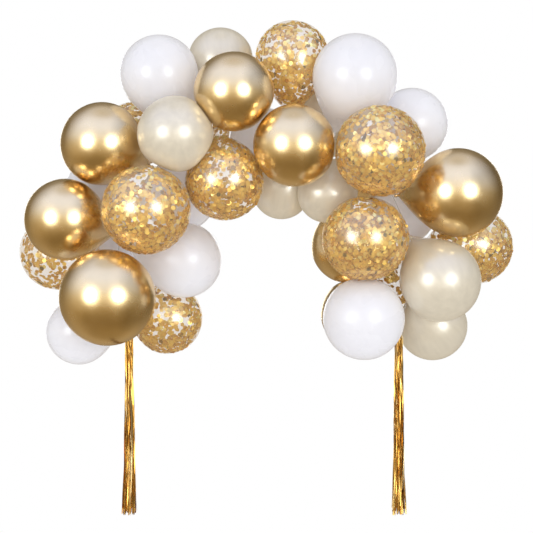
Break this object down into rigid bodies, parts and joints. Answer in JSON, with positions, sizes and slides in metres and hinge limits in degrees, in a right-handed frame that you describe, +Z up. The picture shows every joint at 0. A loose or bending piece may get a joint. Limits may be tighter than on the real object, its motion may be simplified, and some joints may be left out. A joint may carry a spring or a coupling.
{
  "type": "balloon garland",
  "caption": "Horseshoe arch of gold, white, pearl and confetti-filled balloons knotted on a clear tape, with a foil tassel hanging from each end.",
  "frame": {"origin": "middle of the tape's outer face at the crown of the arch, where the garland hangs", "axes": "+Z up, +X to the right of someone in front of the garland, -Y to the front"},
  "size_m": [1.5087, 0.61, 1.4871],
  "materials": {
    "gold_latex": "gold chrome latex, satin mirror",
    "white_latex": "opaque white latex, soft gloss",
    "ivory_latex": "ivory pearl latex, pearly gloss",
    "clear_latex": "clear latex with round gold foil confetti inside, glossy",
    "clear_tape": "clear flexible plastic tape with holes",
    "gold_foil": "metallised gold film, bright and crinkled"
  },
  "bodies": {
    "root": {"balloon_tape": "clear_tape", "white_balloon_foot_left": "white_latex", "gold_balloon_foot_left": "gold_latex", "confetti_balloon_foot_left": "clear_latex", "white_balloon_low_left": "white_latex", "gold_balloon_outer_left": "gold_latex", "confetti_balloon_waist_left": "clear_latex", "confetti_balloon_outer_left": "clear_latex", "white_balloon_back_waist_left": "white_latex", "gold_balloon_shoulder_left": "gold_latex", "ivory_balloon_shoulder_left": "ivory_latex", "confetti_balloon_shoulder_left": "clear_latex", "white_balloon_top_left": "white_latex", "ivory_balloon_crown_left": "ivory_latex", "gold_balloon_crown_left": "gold_latex", "confetti_balloon_inner_left": "clear_latex", "gold_balloon_crown_right": "gold_latex", "confetti_balloon_crown_right": "clear_latex", "white_balloon_top_right": "white_latex", "white_balloon_shoulder_right": "white_latex", "confetti_balloon_shoulder_right": "clear_latex", "gold_balloon_outer_right": "gold_latex", "confetti_balloon_waist_right": "clear_latex", "gold_balloon_inner_right": "gold_latex", "white_balloon_foot_right": "white_latex", "gold_balloon_back_foot_right": "gold_latex", "ivory_balloon_low_right": "ivory_latex", "ivory_balloon_foot_right": "ivory_latex", "confetti_balloon_outer_right": "clear_latex", "ivory_balloon_under_crown": "ivory_latex", "ivory_balloon_inner_right": "ivory_latex", "white_balloon_inner_left": "white_latex", "white_balloon_back_crown": "white_latex", "white_balloon_back_waist_right": "white_latex", "confetti_balloon_back_low_right": "clear_latex", "white_balloon_back_low_left": "white_latex", "confetti_balloon_back_top_left": "clear_latex", "ivory_balloon_back_top_right": "ivory_latex", "gold_balloon_back_shoulder_right": "gold_latex", "tassel_left": "gold_foil", "tassel_right": "gold_foil"}
  },
  "joints": []
}
